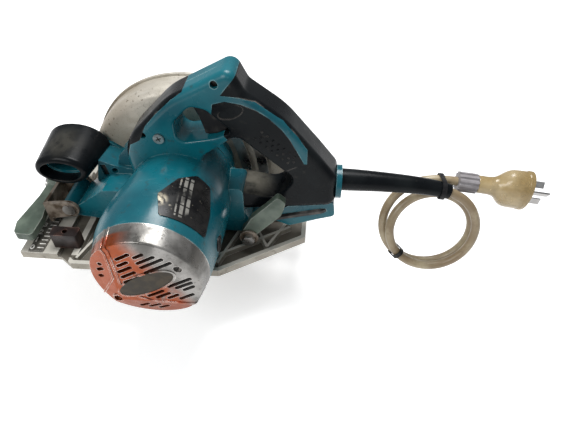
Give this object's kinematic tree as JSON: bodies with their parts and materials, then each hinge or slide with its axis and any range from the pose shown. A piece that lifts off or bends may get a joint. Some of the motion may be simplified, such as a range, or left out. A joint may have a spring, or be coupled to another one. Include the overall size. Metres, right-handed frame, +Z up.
{
  "type": "circular saw",
  "caption": "Corded hand held circular saw, worn teal plastic body over a cast guard and base, with a coiled cord and plug, all as separate jointed pieces",
  "frame": {"origin": "the point on the sole straight below the arbor, in the plane of the blade", "axes": "+X to the rear of the saw, +Y to the blade side, +Z up off the sole"},
  "size_m": [0.4983, 0.2197, 0.2482],
  "materials": {
    "teal_plastic": "glossy moulded teal plastic, scuffed",
    "teal_paint": "teal paint on a light alloy casting, worn at its edges",
    "black_rubber": "soft black overmoulded rubber",
    "black_plastic": "matt black moulded plastic",
    "cast_metal": "die cast light alloy, worn",
    "guard_metal": "die cast light alloy, chalky and speckled",
    "cover_metal": "die cast light alloy with a worn copper tint",
    "bare_steel": "plain turned or ground steel",
    "dark_steel": "blackened tool steel",
    "rusty_steel": "pressed steel, rusted brown",
    "blade_steel": "ground tool steel",
    "lever_paint": "grey green painted steel",
    "clamp_paint": "dark red brown painted steel",
    "badge_paint": "dark olive bare badge",
    "plate_paint": "dark grey bare rating plate",
    "copper": "copper bars",
    "carbon": "pressed carbon block",
    "brass": "bare brass",
    "cord_cream": "cream flexible cord sheath",
    "grey_plastic": "grey moulded plastic",
    "amber_plastic": "amber translucent plastic"
  },
  "bodies": {
    "saw_body": {"upper_guard": "guard_metal", "motor_housing": "teal_plastic", "motor_end_cover": "cover_metal", "end_cover_badge": "badge_paint", "end_cover_screws": "bare_steel", "rating_plate": "plate_paint", "gear_housing": "teal_paint", "spindle_bearings": "bare_steel", "motor_bearings": "bare_steel", "field_stator": "bare_steel", "carbon_brushes": "carbon", "brush_holders": "brass", "brush_caps": "black_plastic", "lower_guard_spring": "bare_steel", "trigger_switch": "grey_plastic", "grip_side_pad": "black_rubber", "rear_grip": "black_rubber", "front_arm_pad": "black_rubber", "handle_screws": "bare_steel", "handle_left_shell": "teal_plastic", "handle_right_shell": "teal_plastic", "front_knob_rubber": "black_rubber", "front_knob_core": "teal_plastic", "hex_key_holder": "teal_plastic", "hex_key": "dark_steel", "depth_bolt": "bare_steel", "depth_washer": "rusty_steel", "power_cord": "cord_cream", "cord_guard": "black_rubber", "cord_collar": "teal_plastic", "cord_ties": "black_plastic", "plug_gland_nut": "grey_plastic", "plug_body": "amber_plastic", "plug_pins": "brass"},
    "spindle_unit": {"spindle": "bare_steel", "spindle_gear": "bare_steel", "inner_flange": "bare_steel", "blade": "blade_steel", "outer_flange": "bare_steel", "blade_bolt": "bare_steel"},
    "armature_unit": {"armature_shaft": "bare_steel", "armature_core": "bare_steel", "commutator": "copper", "motor_fan": "black_plastic"},
    "lower_guard_unit": {"lower_guard": "cast_metal", "lower_guard_lever": "black_plastic"},
    "trigger_unit": {"trigger": "black_plastic"},
    "shaft_lock_unit": {"shaft_lock": "black_plastic"},
    "depth_lever_unit": {"depth_lever": "lever_paint"},
    "carriage": {"front_bracket": "rusty_steel", "pivot_pin": "bare_steel", "hinge_pins": "bare_steel", "depth_guide": "bare_steel", "bevel_bolt": "bare_steel"},
    "bevel_lever_unit": {"bevel_lever": "lever_paint"},
    "base": {"base_plate": "cast_metal", "fence_clamp_block": "clamp_paint", "rip_scale": "cast_metal", "bevel_quadrant": "cast_metal"}
  },
  "joints": [
    {"name": "spindle_turn", "type": "hinge", "parent": "saw_body", "child": "spindle_unit", "pos_m": [0, 0, 0.0285], "axis": [0, 1, 0], "continuous": true},
    {"name": "armature_turn", "type": "hinge", "parent": "saw_body", "child": "armature_unit", "pos_m": [0, -0.08, 0.055], "axis": [0, 1, 0], "continuous": true},
    {"name": "lower_guard_swing", "type": "hinge", "parent": "saw_body", "child": "lower_guard_unit", "pos_m": [0, -0.012, 0.0285], "axis": [0, -1, 0], "range_deg": [0, 115], "stiffness_Nm_per_rad": 0.25, "springref_deg": -29.79},
    {"name": "trigger_pull", "type": "hinge", "parent": "saw_body", "child": "trigger_unit", "pos_m": [0.03, -0.055, 0.151], "axis": [0, -1, 0], "range_deg": [0, 10], "stiffness_Nm_per_rad": 0.6, "springref_deg": -9.74},
    {"name": "shaft_lock_press", "type": "slide", "parent": "saw_body", "child": "shaft_lock_unit", "axis": [0, 1, 0], "range_m": [0, 0.004], "stiffness_N_per_m": 900, "springref_m": -0.002},
    {"name": "depth_lever_swing", "type": "hinge", "parent": "saw_body", "child": "depth_lever_unit", "pos_m": [0.067, -0.08, 0.017], "axis": [0, 1, 0], "range_deg": [0, 30]},
    {"name": "depth_set", "type": "hinge", "parent": "saw_body", "child": "carriage", "pos_m": [-0.108, -0.057, 0.032], "axis": [0, 1, 0], "range_deg": [0, 25]},
    {"name": "bevel_lever_swing", "type": "hinge", "parent": "carriage", "child": "bevel_lever_unit", "pos_m": [-0.14, -0.02991, 0.02195], "axis": [-1, 0, 0], "range_deg": [0, 25]},
    {"name": "bevel_set", "type": "hinge", "parent": "carriage", "child": "base", "pos_m": [0, 0, 0.008], "axis": [1, 0, 0], "range_deg": [0, 56]}
  ],
  "couplings": [
    {"joint": "armature_turn", "follows": "spindle_turn", "ratio": -4.8889}
  ]
}
